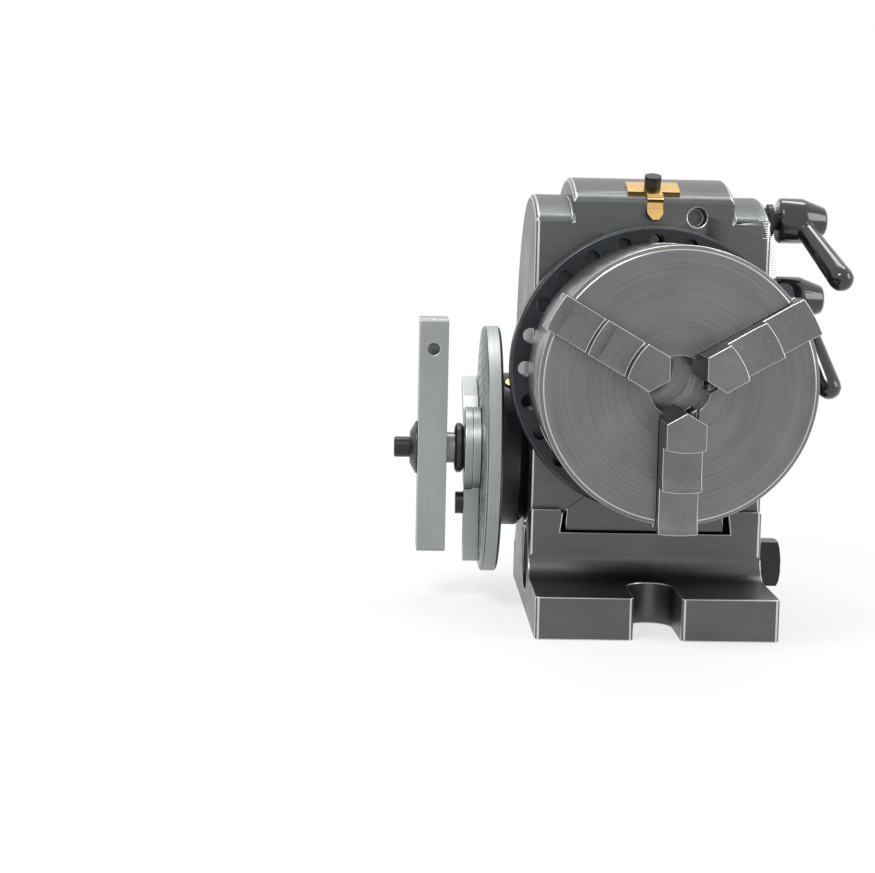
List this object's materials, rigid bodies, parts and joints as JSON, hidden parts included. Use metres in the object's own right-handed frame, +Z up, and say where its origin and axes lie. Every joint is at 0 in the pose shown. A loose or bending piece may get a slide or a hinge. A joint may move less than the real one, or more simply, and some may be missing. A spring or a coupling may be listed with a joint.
{
  "type": "dividing head",
  "caption": "Tilting dividing head: scroll chuck on a worm-driven spindle, index plate, crank bar, direct-index ring, slotted base.",
  "frame": {"origin": "on the table face, straight below the crossing of spindle axis and tilt axis", "axes": "-Y out of the chuck's face along the spindle, +X towards the clamping levers, +Z up"},
  "size_m": [0.1755, 0.2047, 0.1768],
  "materials": {
    "ground_iron": "ground, slightly oily",
    "turned_steel": "turned",
    "jaw_steel": "hardened and ground",
    "pale_steel": "ground",
    "black_oxide": "black oxide, satin",
    "index_plate": "blackened rim, ground face",
    "gloss_black": "gloss black",
    "brass": "polished",
    "bronze": "machined"
  },
  "bodies": {
    "base": {"base": "ground_iron", "clamp_bolt": "black_oxide", "clamp_washer": "black_oxide", "clamp_nut": "pale_steel"},
    "head": {"swivel_body": "ground_iron", "front_bush": "bronze", "rear_cap": "pale_steel", "rear_bush": "bronze", "cap_screws": "black_oxide", "lock_cotters": "pale_steel", "zero_pointer": "brass", "pointer_screw": "black_oxide", "worm_housing": "black_oxide", "oiler": "brass", "index_plate": "index_plate", "plate_screws": "black_oxide", "sector_retainer": "black_oxide", "worm_bush": "bronze"},
    "spindle": {"spindle": "turned_steel", "wheel_key": "pale_steel", "worm_wheel": "bronze", "spindle_nut": "black_oxide", "index_ring": "black_oxide", "chuck_flange": "turned_steel", "chuck_screws": "black_oxide", "chuck_body": "turned_steel", "chuck_cover": "turned_steel", "cover_screws": "black_oxide", "pinion_pins": "pale_steel"},
    "scroll": {"scroll": "turned_steel"},
    "worm": {"worm_shaft": "turned_steel", "crank_bar": "pale_steel", "crank_washer": "black_oxide", "crank_screw": "black_oxide"},
    "sector_inner": {"sector_arm_inner": "pale_steel", "sector_screw": "black_oxide"},
    "sector_outer": {"sector_arm_outer": "pale_steel"},
    "lock_lever": {"lock_lever": "gloss_black", "lock_stud": "black_oxide"},
    "plunger_lever": {"plunger_lever": "gloss_black", "plunger_cam": "black_oxide"},
    "index_plunger": {"index_plunger": "pale_steel"},
    "jaw_1": {"jaw_1": "jaw_steel"},
    "jaw_2": {"jaw_2": "jaw_steel"},
    "jaw_3": {"jaw_3": "jaw_steel"},
    "pinion_1": {"pinion_1": "black_oxide"},
    "pinion_2": {"pinion_2": "black_oxide"},
    "pinion_3": {"pinion_3": "black_oxide"}
  },
  "joints": [
    {"name": "tilt", "type": "hinge", "parent": "base", "child": "head", "pos_m": [0, 0, 0.1], "axis": [-1, 0, 0], "range_deg": [-10, 90]},
    {"name": "spindle_turn", "type": "hinge", "parent": "head", "child": "spindle", "pos_m": [0, 0, 0.1], "axis": [0, 1, 0], "continuous": true},
    {"name": "worm_turn", "type": "hinge", "parent": "head", "child": "worm", "pos_m": [0, 0, 0.0629], "axis": [1, 0, 0], "continuous": true},
    {"name": "scroll_turn", "type": "hinge", "parent": "spindle", "child": "scroll", "pos_m": [0, -0.095, 0.1], "axis": [0, 1, 0], "range_deg": [-432, 864]},
    {"name": "sector_turn", "type": "hinge", "parent": "head", "child": "sector_inner", "pos_m": [-0.0665, 0, 0.0629], "axis": [1, 0, 0], "continuous": true},
    {"name": "sector_spread", "type": "hinge", "parent": "sector_inner", "child": "sector_outer", "pos_m": [-0.0698, 0, 0.0629], "axis": [1, 0, 0], "range_deg": [-90, 200]},
    {"name": "lock_lever_turn", "type": "hinge", "parent": "head", "child": "lock_lever", "pos_m": [0.055, -0.022, 0.1279], "axis": [-1, 0, 0], "range_deg": [-30, 40]},
    {"name": "plunger_lever_turn", "type": "hinge", "parent": "head", "child": "plunger_lever", "pos_m": [0.055, -0.022, 0.159], "axis": [-1, 0, 0], "range_deg": [0, 70]},
    {"name": "index_plunger_slide", "type": "slide", "parent": "head", "child": "index_plunger", "axis": [0, -1, 0], "range_m": [0, 0.0075]},
    {"name": "jaw_1_slide", "type": "slide", "parent": "spindle", "child": "jaw_1", "axis": [0, 0, -1], "range_m": [-0.00605, 0.01205]},
    {"name": "jaw_2_slide", "type": "slide", "parent": "spindle", "child": "jaw_2", "axis": [0.866, 0, 0.5], "range_m": [-0.00605, 0.01205]},
    {"name": "jaw_3_slide", "type": "slide", "parent": "spindle", "child": "jaw_3", "axis": [-0.866, 0, 0.5], "range_m": [-0.00605, 0.01205]},
    {"name": "pinion_1_turn", "type": "hinge", "parent": "spindle", "child": "pinion_1", "pos_m": [0, -0.0819, 0.1], "axis": [0, 0, 1], "range_deg": [-1950, 3900]},
    {"name": "pinion_2_turn", "type": "hinge", "parent": "spindle", "child": "pinion_2", "pos_m": [0, -0.0819, 0.1], "axis": [-0.866, 0, -0.5], "range_deg": [-1950, 3900]},
    {"name": "pinion_3_turn", "type": "hinge", "parent": "spindle", "child": "pinion_3", "pos_m": [0, -0.0819, 0.1], "axis": [0.866, 0, -0.5], "range_deg": [-1950, 3900]}
  ],
  "couplings": [
    {"joint": "worm_turn", "follows": "spindle_turn", "ratio": 40},
    {"joint": "index_plunger_slide", "follows": "plunger_lever_turn", "m_per_rad": 0.0061032},
    {"joint": "jaw_1_slide", "follows": "scroll_turn", "m_per_rad": 0.00079577},
    {"joint": "jaw_2_slide", "follows": "scroll_turn", "m_per_rad": 0.00079577},
    {"joint": "jaw_3_slide", "follows": "scroll_turn", "m_per_rad": 0.00079577},
    {"joint": "pinion_1_turn", "follows": "scroll_turn", "ratio": 4.5},
    {"joint": "pinion_2_turn", "follows": "scroll_turn", "ratio": 4.5},
    {"joint": "pinion_3_turn", "follows": "scroll_turn", "ratio": 4.5}
  ]
}
